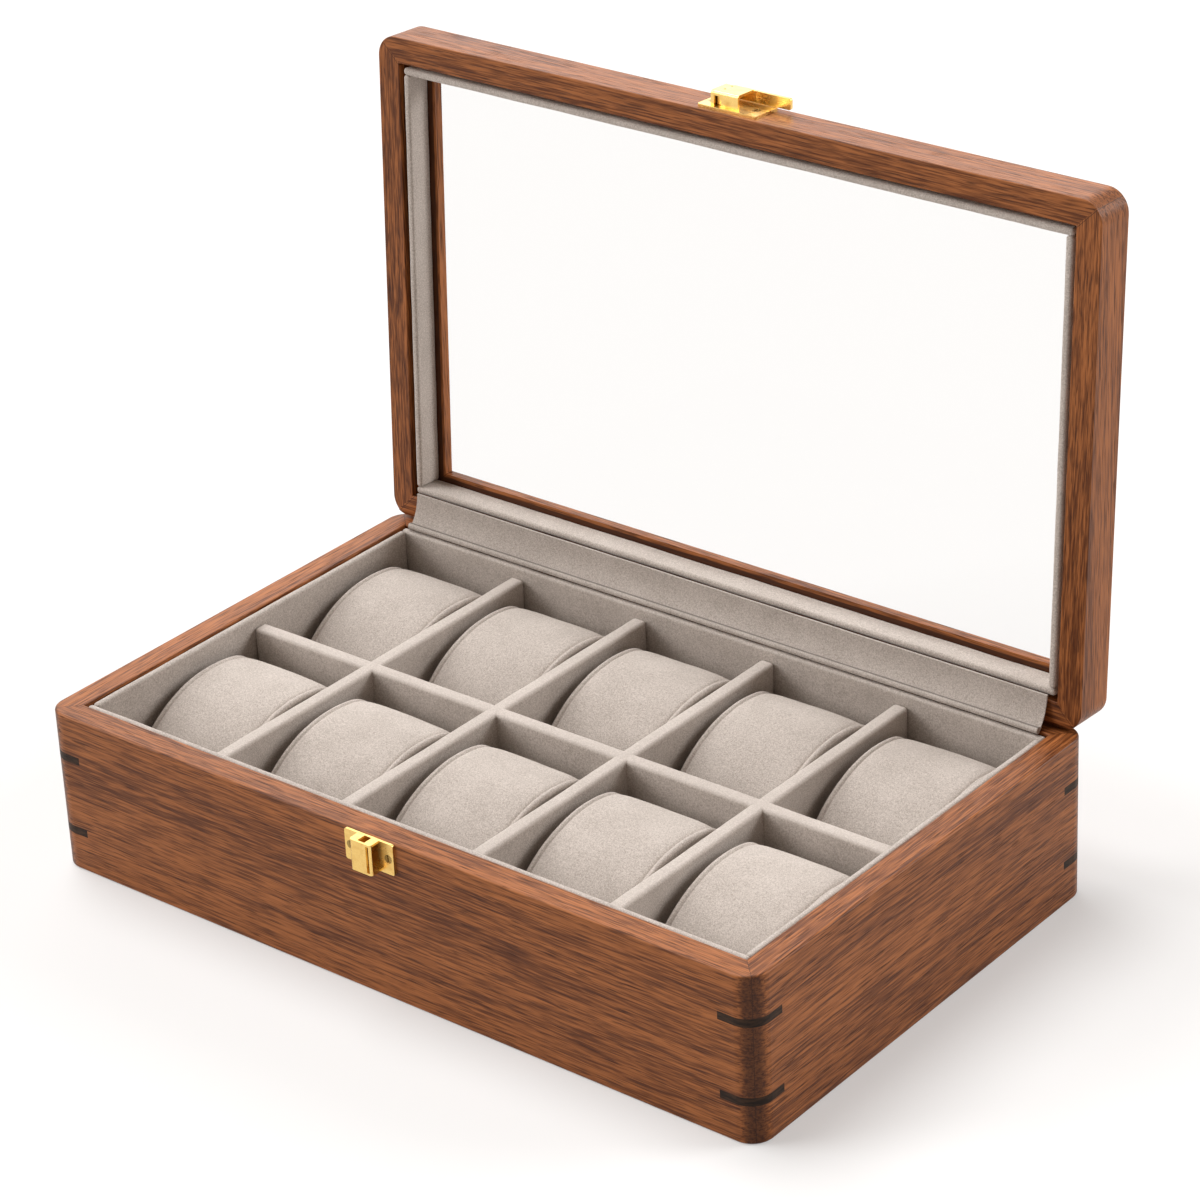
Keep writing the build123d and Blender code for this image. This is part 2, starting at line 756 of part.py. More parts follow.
with BuildPart() as latch_housing:
    slab(
        latch_frame,
        (-latch_housing_left, latch_housing_right),
        (latch_housing_start, latch_top),
        (latch_plate_thickness, latch_housing_depth),
    )
    fillet(latch_housing.edges().filter_by(Axis.X).group_by(outward)[-1], housing_round)
    slab(
        latch_frame,
        (sheet_thickness - latch_housing_left, latch_housing_right),
        (latch_housing_start + sheet_thickness, latch_top),
        (latch_plate_thickness, latch_housing_depth - sheet_thickness),
        Mode.SUBTRACT,
    )
    slab(
        latch_frame,
        (-tongue_hole / 2, tongue_hole / 2),
        (latch_housing_start, latch_housing_start + sheet_thickness),
        (tongue_hole_back, tongue_hole_front),
        Mode.SUBTRACT,
    )
    for height in rivet_hole_heights:
        with BuildSketch(latch_frame.offset(latch_housing_depth)):
            with Locations((rivet_hole_x, height)):
                Circle(rivet_hole_radius)
        extrude(amount=-sheet_thickness, mode=Mode.SUBTRACT)
latch_housing.part.label = "latch_housing"
export_step(latch_housing.part, "parts/latch_housing.step")

arm_level = latch_top + arm_lift
arm_out = latch_housing_depth - sheet_thickness - bolt_play
with BuildPart() as latch_bolt:
    slab(
        latch_frame,
        (-tongue_width / 2, tongue_width / 2),
        (latch_housing_start + tongue_setback, arm_level + arm_thickness),
        (tongue_out - tongue_depth / 2, tongue_out + tongue_depth / 2),
    )
    slab(
        latch_frame,
        (-tongue_width / 2, latch_housing_right + arm_reach),
        (arm_level, arm_level + arm_thickness),
        (tongue_out - tongue_depth / 2, arm_out),
    )
    fillet(latch_bolt.edges().filter_by(lid_upward).group_by(Axis.X)[-1], plate_round)
latch_bolt.part.label = "latch_bolt"
export_step(latch_bolt.part, "parts/latch_bolt.step")

with BuildPart() as latch_screws:
    for place in latch_screw_places:
        screw(place)
latch_screws.part.label = "latch_screws"
export_step(latch_screws.part, "parts/latch_screws.step")
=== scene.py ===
import math
import random

import bmesh
import bpy
from mathutils import Matrix, Vector, noise


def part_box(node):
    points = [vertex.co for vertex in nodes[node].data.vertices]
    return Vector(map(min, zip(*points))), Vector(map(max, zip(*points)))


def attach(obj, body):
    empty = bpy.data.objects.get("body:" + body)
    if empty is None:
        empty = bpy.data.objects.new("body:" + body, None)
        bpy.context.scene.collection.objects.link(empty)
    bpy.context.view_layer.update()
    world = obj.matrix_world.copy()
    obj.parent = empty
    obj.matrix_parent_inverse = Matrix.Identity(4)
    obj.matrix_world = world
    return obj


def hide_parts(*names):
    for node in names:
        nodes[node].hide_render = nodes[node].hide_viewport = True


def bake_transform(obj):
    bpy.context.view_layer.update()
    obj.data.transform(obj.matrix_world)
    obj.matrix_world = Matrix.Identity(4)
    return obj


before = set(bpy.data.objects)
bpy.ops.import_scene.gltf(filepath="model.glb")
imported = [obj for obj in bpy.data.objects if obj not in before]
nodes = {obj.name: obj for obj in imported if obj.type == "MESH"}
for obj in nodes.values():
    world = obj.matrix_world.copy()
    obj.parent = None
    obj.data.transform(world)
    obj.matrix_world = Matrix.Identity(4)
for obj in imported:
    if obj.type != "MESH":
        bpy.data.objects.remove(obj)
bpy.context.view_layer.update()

scene = bpy.context.scene
mm = 0.001


# Shared helpers for selecting and shaping

def deselectAll():
    if bpy.context.object and bpy.context.object.mode != "OBJECT":
        bpy.ops.object.mode_set(mode="OBJECT")
    bpy.ops.object.select_all(action="DESELECT")


def makeActive(piece):
    deselectAll()
    piece.select_set(True)
    bpy.context.view_layer.objects.active = piece


def pickEdges(piece, wanted):
    # leaves edit mode on, with only the wanted edges selected
    makeActive(piece)
    bpy.ops.object.mode_set(mode="EDIT")
    bpy.ops.mesh.select_mode(type="EDGE")
    bpy.ops.mesh.select_all(action="DESELECT")
    mesh = bmesh.from_edit_mesh(piece.data)
    for edge in mesh.edges:
        if wanted(edge):
            edge.select = True
    mesh.select_flush_mode()
    bmesh.update_edit_mesh(piece.data)


def applyModifiers(piece):
    makeActive(piece)
    for modifier in list(piece.modifiers):
        bpy.ops.object.modifier_apply(modifier=modifier.name)


def settle(piece):
    # the place of a piece goes into its mesh
    makeActive(piece)
    bpy.ops.object.transform_apply(location=True, rotation=True, scale=True)


def smoothShade(piece, degrees=40):
    makeActive(piece)
    bpy.ops.object.shade_smooth_by_angle(angle=math.radians(degrees))


def along(edge, axis, limit=0.99):
    way = edge.verts[1].co - edge.verts[0].co
    return way.length > 0 and abs(way.normalized().dot(axis)) > limit


# Shader maths: a socket that can be added, multiplied and so on

class Wire:
    def __init__(self, tree, socket):
        self.tree = tree
        self.socket = socket

    def add(self, kind, settings, inputs, output=0):
        made = self.tree.nodes.new(kind)
        for name, value in settings.items():
            setattr(made, name, value)
        for name, value in inputs.items():
            if isinstance(value, Wire):
                self.tree.links.new(value.socket, made.inputs[name])
            else:
                made.inputs[name].default_value = value
        return Wire(self.tree, made.outputs[output])

    def sum(self, operation, first, second):
        return self.add("ShaderNodeMath", {"operation": operation}, {0: first, 1: second})

    def __add__(self, other):
        return self.sum("ADD", self, other)

    def __radd__(self, other):
        return self.sum("ADD", other, self)

    def __sub__(self, other):
        return self.sum("SUBTRACT", self, other)

    def __rsub__(self, other):
        return self.sum("SUBTRACT", other, self)

    def __mul__(self, other):
        return self.sum("MULTIPLY", self, other)

    def __pow__(self, other):
        return self.sum("POWER", self, other)

    def over(self, low, high):
        # 0 below low, 1 above high
        return self.add("ShaderNodeMapRange", {"interpolation_type": "SMOOTHSTEP"},
                        {"Value": self, "From Min": low, "From Max": high})

    def mixed(self, first, second):
        # two colours, mixed by this value
        made = self.tree.nodes.new("ShaderNodeMix")
        made.data_type = "RGBA"
        self.tree.links.new(self.socket, made.inputs[0])
        for place, tone in ((6, first), (7, second)):
            if isinstance(tone, Wire):
                self.tree.links.new(tone.socket, made.inputs[place])
            else:
                made.inputs[place].default_value = (*tone, 1)
        return Wire(self.tree, made.outputs[2])

    def part(self, axis):
        # one coordinate of a vector
        return self.add("ShaderNodeSeparateXYZ", {}, {0: self}, axis)

    def absolute(self):
        return self.sum("ABSOLUTE", self, 0)

    def stretched(self, first, second=1):
        # coordinates along which a pattern is drawn out, by the first or both of the first two axes
        return self.add("ShaderNodeMapping", {}, {"Vector": self, "Scale": (first, second, 1)})

    def grain(self, size, layers, strength):
        # a pattern of marks of one size at these coordinates
        return self.add("ShaderNodeTexNoise", {}, {
            "Vector": self, "Scale": 1 / size, "Detail": layers, "Roughness": strength})


def newMaterial(name, fixed):
    material = bpy.data.materials.new(name)
    material.use_nodes = True
    tree = material.node_tree
    shader = tree.nodes["Principled BSDF"]
    for socket, value in fixed.items():
        shader.inputs[socket].default_value = value
    place = tree.nodes.new("ShaderNodeTexCoord")
    return material, shader, Wire(tree, place.outputs["Object"])


def feed(wire, shader, name):
    wire.tree.links.new(wire.socket, shader.inputs[name])


def bumped(height, shader, depth):
    feed(height.add("ShaderNodeBump", {}, {"Height": height, "Distance": depth, "Strength": 1.0}),
         shader, "Normal")


def toned(tone, factor):
    # a colour made lighter or darker by one factor
    return tuple(part * factor for part in tone)


# Walnut: slow bands, fine streaks and short dark pores along the board, with painted shade round the
# rounded corners, a thin line at the mitres and painted deep shade on the face of the lid's lip.
# A pattern is given by the size of its marks, the number of finer layers and their strength

walnut = {
    "dark": (0.098, 0.026, 0.006),
    "light": (0.405, 0.139, 0.041),
    "poreAndShadeTone": (0.035, 0.010, 0.004),
    "band": (0.012, 2, 0.5),
    "streak": (0.0017, 3, 0.65),
    "fine": (0.0007, 2, 0.6),
    "pore": (0.0005, 1, 0.5),
    "cut": (0.37, 0.11, 0.23),  # how far apart in the wood two boards are cut
    "driftScale": 16,
    "driftDetail": 1.5,
    "driftStretch": 0.3,
    "longStretch": 0.022,
    "shortStretch": 0.045,
    "waver": 0.0035,
    "bandShare": 0.22,
    "streakShare": 0.26,
    "fineShare": 0.52,
    "toneSpan": (0.37, 0.62),
    "poreSpan": (0.58, 0.70),
    "poreShare": 0.65,
    "roughness": 0.40,
    "poreRoughness": 0.25,
    "streakRoughness": 0.12,
    "gloss": 0.2,
    "poreDepth": 0.00007,
    "fineDepth": 0.35,  # as a share of a pore's depth
    "corner": (0.160, 0.0985, 0.0085),  # half width, half depth and radius of the box
    "cornerShadeSpan": (1.14, 1.4),
    "cornerShade": 0.68,
    "lidCornerShade": 0.25,
    "mitreSpan": (0.08 * mm, 0.26 * mm),
    "mitreShade": 0.72,
    "lipShade": 0.88,
    "lipSpan": (0.4 * mm, 0.8 * mm),
    "lipLevel": 11.6 * mm,
    "glassLevel": 15.2 * mm,
    "lipEdge": (-16.8 * mm, -16.2 * mm),  # inward from the outside of the lid
    "lipRoot": (-10.0 * mm, -9.8 * mm),
}


def walnutBoard(name, turn, seed, axis, centre):
    material, shader, place = newMaterial(name, {"Specular IOR Level": walnut["gloss"]})
    centred = place.add("ShaderNodeMapping", {}, {
        "Vector": place, "Rotation": turn, "Location": [seed * part for part in walnut["cut"]]})
    slow = centred.stretched(walnut["driftStretch"])
    drift = centred.add("ShaderNodeTexNoise", {}, {
        "Vector": slow, "Scale": walnut["driftScale"], "Detail": walnut["driftDetail"]}, 1)
    shifted = centred.add("ShaderNodeVectorMath", {"operation": "MULTIPLY_ADD"}, {
        0: drift, 1: (0, walnut["waver"], walnut["waver"]), 2: centred})
    long = shifted.stretched(walnut["longStretch"])
    short = shifted.stretched(walnut["shortStretch"])
    band = long.grain(*walnut["band"])
    streak = long.grain(*walnut["streak"])
    fine = short.grain(*walnut["fine"])
    pores = short.grain(*walnut["pore"])
    tone = band * walnut["bandShare"] + streak * walnut["streakShare"] + fine * walnut["fineShare"]
    body = tone.over(*walnut["toneSpan"]).mixed(walnut["dark"], walnut["light"])
    pore = pores.over(*walnut["poreSpan"]) * walnut["poreShare"]
    grained = pore.mixed(body, walnut["poreAndShadeTone"])
    halfWidth, halfDepth, radius = walnut["corner"]
    wide = place.part(0).absolute() - halfWidth
    deep = (place.part(axis) - centre).absolute() - halfDepth
    # painted shade: the colour darkens round the rounded corners of the box
    rounded = (wide + deep + 2 * radius).over(*(radius * part for part in walnut["cornerShadeSpan"]))
    mitre = 1 - (wide - deep).absolute().over(*walnut["mitreSpan"])
    cornerShade = walnut["lidCornerShade" if axis == 2 else "cornerShade"]
    shade = 1 - (1 - rounded * cornerShade) * (1 - mitre * walnut["mitreShade"])
    if axis == 2:
        back = (place.part(1) - lidLow[1]) * math.cos(lidLean)
        depth = back - (place.part(2) - lidLow[2]) * math.sin(lidLean) + walnut["glassLevel"]
        face = 1 - (depth - walnut["lipLevel"]).absolute().over(*walnut["lipSpan"])
        inward = wide.sum("MAXIMUM", wide, deep)
        inside = inward.over(*walnut["lipEdge"]) - inward.over(*walnut["lipRoot"])
        shade = 1 - (1 - shade) * (1 - face * inside * walnut["lipShade"])
    # pores and mitre lines are the wood's own; the corners and the lip's face get painted shade in the same
    # dark colour
    feed(shade.mixed(grained, walnut["poreAndShadeTone"]), shader, "Base Color")
    rough = walnut["roughness"] + pore * walnut["poreRoughness"]
    feed(rough + (streak - 0.5) * walnut["streakRoughness"], shader, "Roughness")
    bumped(1 - pore + fine * walnut["fineDepth"], shader, walnut["poreDepth"])
    return material


# Dark hardwood keys

darkWood = {
    "dark": (0.014, 0.007, 0.004),
    "light": (0.052, 0.027, 0.015),
    "streak": (0.0012, 4, 0.6),
    "streakStretch": (0.2, 0.2),
    "streakSpan": (0.35, 0.68),
    "streakDepth": 0.00005,
    "streakRoughness": 0.15,
    "roughness": 0.45,
    "gloss": 0.14,
}


def darkKeyWood():
    material, shader, place = newMaterial("darkKeyWood", {"Specular IOR Level": darkWood["gloss"]})
    streak = place.stretched(*darkWood["streakStretch"]).grain(*darkWood["streak"])
    tone = streak.over(*darkWood["streakSpan"]).mixed(darkWood["dark"], darkWood["light"])
    feed(tone, shader, "Base Color")
    feed(darkWood["roughness"] + streak * darkWood["streakRoughness"], shader, "Roughness")
    bumped(streak, shader, darkWood["streakDepth"])
    return material


# Suede: a short nap that catches the light in soft patches

suede = {
    "low": (0.357, 0.311, 0.276),
    "high": (0.590, 0.531, 0.487),
    "trayLift": 1.02,
    "stripPaintedLight": 1.12,
    "pillowLift": 1.04,
    "fibre": (0.0004, 3, 0.7),
    "speck": (0.0008, 3, 0.6),
    "patch": (0.014, 4, 0.6),
    "toneShares": (0.55, 0.30, 0.15),  # of fibre, speck and patch
    "toneSpan": (0.36, 0.64),
    "napShares": (0.6, 0.4, 0.8),
    "napDepth": 0.00016,
    "roughness": 0.92,
    "patchRoughness": 0.12,
    "gloss": 0.15,
    "sheen": 0.3,
    "sheenRoughness": 0.45,
    "sheenTint": (0.95, 0.92, 0.88, 1),
    "deepShadeSpan": (12 * mm, 56 * mm),
    "deepShadeTone": (0.64, 0.58, 0.52),
    "rimHighlightSpan": (1.8 * mm, 0.4 * mm),
    "rimHighlightLift": 1.05,
    "rimHighlightShare": 0.35,
    "creaseSpan": (0.25 * mm, 0.75 * mm),
    "creaseShade": 0.75,
    "creaseTone": 0.25,
}


def suedeCloth(name, lift=1.0, trayShade=False, paintedHighlightTop=None, crease=None):
    material, shader, place = newMaterial(name, {
        "Specular IOR Level": suede["gloss"], "Sheen Weight": suede["sheen"],
        "Sheen Roughness": suede["sheenRoughness"], "Sheen Tint": suede["sheenTint"]})
    layers = [place.grain(*suede[key]) for key in ("fibre", "speck", "patch")]
    fibre, speck, patch = (layer * share for layer, share in zip(layers, suede["toneShares"]))
    mottle = fibre + speck + patch
    tone = mottle.over(*suede["toneSpan"]).mixed(toned(suede["low"], lift), toned(suede["high"], lift))
    if trayShade:
        # painted shade: darker towards the bottom of the tray
        paintedDeepShade = tuple(part * deep for part, deep in zip(suede["low"], suede["deepShadeTone"]))
        tone = place.part(2).over(*suede["deepShadeSpan"]).mixed(paintedDeepShade, tone)
    if paintedHighlightTop:
        # painted highlight: paler along the top edge, where the light falls
        edge = place.part(2).over(*(paintedHighlightTop - below for below in suede["rimHighlightSpan"]))
        tone = (edge * suede["rimHighlightShare"]).mixed(tone, toned(suede["high"], suede["rimHighlightLift"]))
    if crease:
        # painted shade in the crease where a rolled edge meets its band
        across = place.part(1) - crease[0]
        rise = place.part(2) - crease[1]
        line = 1 - ((across * across + rise * rise) ** 0.5).over(*suede["creaseSpan"])
        tone = (line * suede["creaseShade"]).mixed(tone, toned(suede["low"], suede["creaseTone"]))
    feed(tone, shader, "Base Color")
    feed(suede["roughness"] + (layers[2] - 0.5) * suede["patchRoughness"], shader, "Roughness")
    fibre, speck, patch = (layer * share for layer, share in zip(layers, suede["napShares"]))
    bumped(fibre + speck + patch, shader, suede["napDepth"])
    return material


# Dark felt under the box

felt = {
    "low": (0.035, 0.028, 0.024),
    "high": (0.075, 0.062, 0.054),
    "fibre": (0.0009, 5, 0.75),
    "fibreSpan": (0.35, 0.65),
    "fibreDepth": 0.0003,
    "fibreRoughness": 0.1,
    "roughness": 0.88,
    "gloss": 0.1,
    "sheen": 0.25,
}


def feltCloth():
    material, shader, place = newMaterial("feltCloth", {
        "Specular IOR Level": felt["gloss"], "Sheen Weight": felt["sheen"]})
    fibre = place.grain(*felt["fibre"])
    feed(fibre.over(*felt["fibreSpan"]).mixed(felt["low"], felt["high"]), shader, "Base Color")
    feed(felt["roughness"] + fibre * felt["fibreRoughness"], shader, "Roughness")
    bumped(fibre, shader, felt["fibreDepth"])
    return material


# Brass: polished, with fine brushing and a little tarnish in patches

brass = {
    "bright": (0.84, 0.57, 0.19),
    "aged": (0.66, 0.38, 0.10),
    "screwTone": 0.42,
    "roughness": 0.24,
    "gloss": 0.5,
    "brush": (0.0004, 2, 0.5),
    "brushStretch": 0.12,
    "brushDepth": 0.00001,
    "brushRoughness": 0.12,
    "patch": (0.004, 4, 0.6),
    "patchSpan": (0.45, 0.8),
    "patchRoughness": 0.1,
}


def brassSheet(name, lift=1.0):
    material, shader, place = newMaterial(name, {"Metallic": 1.0, "Specular IOR Level": brass["gloss"]})
    brush = place.stretched(brass["brushStretch"]).grain(*brass["brush"])
    patch = place.grain(*brass["patch"])
    bright, aged = (toned(brass[key], lift) for key in ("bright", "aged"))
    feed(patch.over(*brass["patchSpan"]).mixed(bright, aged), shader, "Base Color")
    rough = brass["roughness"] + patch * brass["patchRoughness"]
    feed(rough + (brush - 0.5) * brass["brushRoughness"], shader, "Roughness")
    bumped(brush, shader, brass["brushDepth"])
    return material


# Plain board under the lining, seen only if the box is taken apart

panelWood = {
    "dark": (0.30, 0.19, 0.11),
    "light": (0.44, 0.31, 0.2),
    "streak": (0.003, 4, 0.6),
    "streakStretch": 0.08,
    "streakSpan": (0.3, 0.7),
    "streakDepth": 0.00008,
    "streakRoughness": 0.1,
    "roughness": 0.6,
}


def plainBoard():
    material, shader, place = newMaterial("plainBoard", {})
    streak = place.stretched(panelWood["streakStretch"]).grain(*panelWood["streak"])
    tone = streak.over(*panelWood["streakSpan"]).mixed(panelWood["dark"], panelWood["light"])
    feed(tone, shader, "Base Color")
    feed(panelWood["roughness"] + streak * panelWood["streakRoughness"], shader, "Roughness")
    bumped(streak, shader, panelWood["streakDepth"])
    return material


# Clear coated glass that reflects little and lets light through to what stands behind it

glass = {
    "tint": (0.872, 0.875, 0.875, 1),
    "bending": 1.07,
    "smear": (0.03, 3, 0.6),
    "smearSpan": (0.45, 0.9),
    "smearRoughness": 0.02,
}


def clearGlass():
    material, shader, place = newMaterial("clearGlass", {
        "Base Color": glass["tint"], "Transmission Weight": 1.0, "IOR": glass["bending"]})
    smear = place.grain(*glass["smear"])
    feed(smear.over(*glass["smearSpan"]) * glass["smearRoughness"], shader, "Roughness")
    tree = material.node_tree
    clear = tree.nodes.new("ShaderNodeBsdfTransparent")
    rays = tree.nodes.new("ShaderNodeLightPath")
    mix = tree.nodes.new("ShaderNodeMixShader")
    through = Wire(tree, rays.outputs["Is Shadow Ray"]) + Wire(tree, rays.outputs["Is Diffuse Ray"])
    tree.links.new(through.socket, mix.inputs[0])
    tree.links.new(shader.outputs[0], mix.inputs[1])
    tree.links.new(clear.outputs[0], mix.inputs[2])
    tree.links.new(mix.outputs[0], tree.nodes["Material Output"].inputs["Surface"])
    return material


def dress(name, material):
    data = nodes[name].data
    data.materials.clear()
    data.materials.append(material)


# The open lid leans back by three degrees; each board's grain runs along its length

lidLean = math.radians(3)
alongX = (0, 0, 0)
alongY = (0, 0, math.radians(90))
upright = (math.radians(90), 0, math.radians(90))
boards = {
    "front_wall": alongX, "rear_wall": alongX, "left_wall": alongY, "right_wall": alongY,
    "lid_front_rail": alongX, "lid_rear_rail": alongX, "lid_left_rail": upright, "lid_right_rail": upright,
}
lidLow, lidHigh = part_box("glass_panel")
for seed, (name, turn) in enumerate(boards.items()):
    onLid = name.startswith("lid_")
    centre = (lidLow[2] + lidHigh[2]) / 2 if onLid else 0
    dress(name, walnutBoard(f"walnut_{name}", turn, seed + 1, 2 if onLid else 1, centre))
dress("corner_splines", darkKeyWood())
dress("bottom_panel", plainBoard())
dress("glass_panel", clearGlass())
brassMetal = brassSheet("brassSheet")
screwBrass = brassSheet("screwBrass", brass["screwTone"])
for name in nodes:
    if name.endswith("_screws"):
        dress(name, screwBrass)
    elif name.startswith(("hinge_left", "hinge_right", "keeper", "latch")):
        dress(name, brassMetal)
print("wood, brass and glass done")


# Suede over boards: linings, dividers, floor and the strips in the lid

traySuede = suedeCloth("traySuede", suede["trayLift"], True)
# the dividers get a painted highlight along their tops
dividerSuede = suedeCloth("dividerSuede", suede["trayLift"], True, paintedHighlightTop=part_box("long_divider")[1][2])
# painted light: a lighter copy of the suede for the strips in the lid, whose faces are lit under the glass
stripSuede = suedeCloth("stripSuede", suede["stripPaintedLight"])
pillowSuede = suedeCloth("pillowSuede", suede["pillowLift"])
covering = {
    "round": 1.3 * mm,
    "divider": 1.4 * mm,
    "strip": 1.0 * mm,
    "floor": 0.4 * mm,
    "felt": 0.3 * mm,
    "feltRipple": 0.2,
    "bevelSteps": 4,
    "bevelAngle": 50,
    "ripple": 0.35 * mm,
    "rippleSize": 0.018,
    "step": 6 * mm,
}


def coveredBoard(name, low, high, rounding, stretch):
    # a board wrapped in suede: rounded edges and a slightly uneven face
    low, high = Vector(low), Vector(high)
    size = high - low
    bpy.ops.mesh.primitive_cube_add(size=1, location=(low + high) / 2, scale=size)
    board = bpy.context.object
    board.name = name
    settle(board)
    for axis, length in zip((Vector((1, 0, 0)), Vector((0, 1, 0)), Vector((0, 0, 1))), size):
        cuts = int(length / covering["step"])
        if cuts:
            pickEdges(board, lambda edge: along(edge, axis))
            bpy.ops.mesh.subdivide(number_cuts=cuts)
            bpy.ops.object.mode_set(mode="OBJECT")
    bevel = board.modifiers.new("edges", "BEVEL")
    bevel.width = rounding
    bevel.segments = covering["bevelSteps"]
    bevel.limit_method = "ANGLE"
    bevel.angle_limit = math.radians(covering["bevelAngle"])
    cloud = bpy.data.textures.new(f"{name}_ripple", "CLOUDS")
    cloud.noise_scale = covering["rippleSize"]
    ripple = board.modifiers.new("ripple", "DISPLACE")
    ripple.texture = cloud
    ripple.texture_coords = "LOCAL"
    ripple.strength = covering["ripple"] * stretch
    ripple.mid_level = 0.5
    applyModifiers(board)
    smoothShade(board)
    return board


def cover(name, nodeName, body, rounding, material=None, stretch=1.0):
    low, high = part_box(nodeName)
    board = coveredBoard(name, low, high, rounding, stretch)
    board.data.materials.append(material or traySuede)
    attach(board, body)
    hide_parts(nodeName)
    return board


deselectAll()
for side in ("front", "rear", "left", "right"):
    cover(f"suede_lining_{side}", f"lining_{side}", "box", covering["round"])
cover("suede_floor", "lining_floor", "box", covering["floor"])
for number in range(1, 5):
    name = f"cross_divider_{number}"
    cover(f"suede_{name}", name, "box", covering["divider"], material=dividerSuede)
cover("suede_long_divider", "long_divider", "box", covering["divider"], material=dividerSuede)
print("tray suede done")


# Suede strips inside the lid, made flat and then tilted with the open lid

def lidStrip(side):
    low, high = [Vector(corner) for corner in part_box(f"lid_strip_{side}")]
    span = high - low
    # the box round a tilted strip is its own size times the lean's sine and cosine
    determinant = math.cos(lidLean) ** 2 - math.sin(lidLean) ** 2
    deep = (span.y * math.cos(lidLean) - span.z * math.sin(lidLean)) / determinant
    tall = (span.z * math.cos(lidLean) - span.y * math.sin(lidLean)) / determinant
    half = Vector((span.x, deep, tall)) / 2
    strip = coveredBoard(f"suede_lid_strip_{side}", -half, half, covering["strip"], 1.0)
    strip.data.transform(Matrix.Translation((low + high) / 2) @ Matrix.Rotation(-lidLean, 4, "X"))
    strip.data.materials.append(stripSuede)
    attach(strip, "lid")
    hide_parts(f"lid_strip_{side}")


for side in ("front", "rear", "left", "right"):
    lidStrip(side)
print("lid strips done")


# Pillows: a crowned wrap, a rolled edge at each end and a sunk end panel

pillow = {
    "halfLength": 36.5 * mm,
    "halfWidth": 23 * mm,
    "height": 48 * mm,
    "crown": 52 * mm,
    "crownOffset": 12 * mm,
    "frontShoulder": 15 * mm,
    "rearShoulder": 16 * mm,
    "foot": 8 * mm,
    "samples": (4, 9, 30, 7, 2, 5, 13, 5),
    "fill": 0.75,
    "seed": 7,
    "turn": 0.5,  # how far a pillow may lie askew, in degrees
    "nudge": (0.25 * mm, 0.5 * mm),
}
# reach from the end, inset and share of the outline kept, from the panel's middle out to the pillow's middle
pillowEnd = [
    (1.5, 4.4, 0.12), (1.35, 4.4, 0.4), (1.3, 4.4, 0.7), (1.4, 4.4, 0.9), (1.9, 4.2, 1), (2.1, 3.7, 1),
    (1.5, 3.1, 1), (0.6, 2.9, 1), (0.12, 2.4, 1), (0.0, 1.8, 1), (0.25, 1.1, 1), (0.85, 0.6, 1),
    (1.5, 0.55, 1), (2.0, 0.8, 1), (2.3, 1.15, 1), (2.55, 1.3, 1), (2.85, 1.0, 1), (3.5, 0.7, 1),
    (5.0, 0.42, 1), (8.0, 0.2, 1), (12.0, 0.08, 1), (16.0, 0.03, 1), (19.5, 0.0, 1),
]


def pillowOutline(inset):
    # starts on the rear side and runs over the crown, down the front and under the foot
    half = pillow["halfLength"] - inset
    foot = pillow["foot"]
    crown = Vector((pillow["crownOffset"], pillow["height"] - pillow["crown"]))

    def shoulder(way, radius):
        y = way * (pillow["halfLength"] - radius)
        z = crown.y + math.sqrt((pillow["crown"] - radius) ** 2 - (y - crown.x) ** 2)
        return y, z, radius - inset, math.atan2(z - crown.y, y - crown.x)

    def arc(centreY, centreZ, radius, start, stop, count):
        for step in range(count):
            angle = start + (stop - start) * step / count
            yield centreY + radius * math.cos(angle), centreZ + radius * math.sin(angle)

    def line(startY, startZ, stopY, stopZ, count):
        for step in range(count):
            share = step / count
            yield startY + (stopY - startY) * share, startZ + (stopZ - startZ) * share

    rearY, rearZ, rearRadius, rearTurn = shoulder(1, pillow["rearShoulder"])
    frontY, frontZ, frontRadius, frontTurn = shoulder(-1, pillow["frontShoulder"])
    count = pillow["samples"]
    points = list(line(half, foot, half, rearZ, count[0]))
    points += arc(rearY, rearZ, rearRadius, 0, rearTurn, count[1])
    points += arc(crown.x, crown.y, pillow["crown"] - inset, rearTurn, frontTurn, count[2])
    points += arc(frontY, frontZ, frontRadius, frontTurn, math.pi, count[3])
    points += line(-half, frontZ, -half, foot, count[4])
    points += arc(-half + foot, foot, foot, math.pi, 1.5 * math.pi, count[5])
    points += line(-half + foot, 0, half - foot, 0, count[6])
    points += arc(half - foot, foot, foot, 1.5 * math.pi, 2 * math.pi, count[7])
    return points


def pillowStations():
    end = [(-pillow["halfWidth"] + reach * mm, inset * mm, share) for reach, inset, share in pillowEnd]
    return end + [(0.0, 0.0, 1)] + [(-x, inset, share) for x, inset, share in reversed(end)]


def modelPillow():
    stations = pillowStations()
    around = sum(pillow["samples"])
    bpy.ops.mesh.primitive_cylinder_add(vertices=around, radius=1, depth=1, end_fill_type="TRIFAN",
                                        rotation=(0, math.radians(90), 0))
    piece = bpy.context.object
    piece.name = "pillow_model"
    settle(piece)
    pickEdges(piece, lambda edge: along(edge, Vector((1, 0, 0))))
    bpy.ops.mesh.subdivide(number_cuts=len(stations) - 2)
    bpy.ops.object.mode_set(mode="OBJECT")
    middle = Vector((0, pillow["height"] * 0.5))
    outlines = [pillowOutline(inset) for x, inset, share in stations]
    for vertex in piece.data.vertices:
        x, y, z = vertex.co
        ring = round((x + 0.5) * (len(stations) - 1))
        stationX, inset, share = stations[ring]
        if math.hypot(y, z) < 0.5:
            vertex.co = (stationX, *middle)
            continue
        point = Vector(outlines[ring][round(math.atan2(z, y) / (2 * math.pi) * around) % around])
        vertex.co = (stationX, *(middle + (point - middle) * share))
    return piece


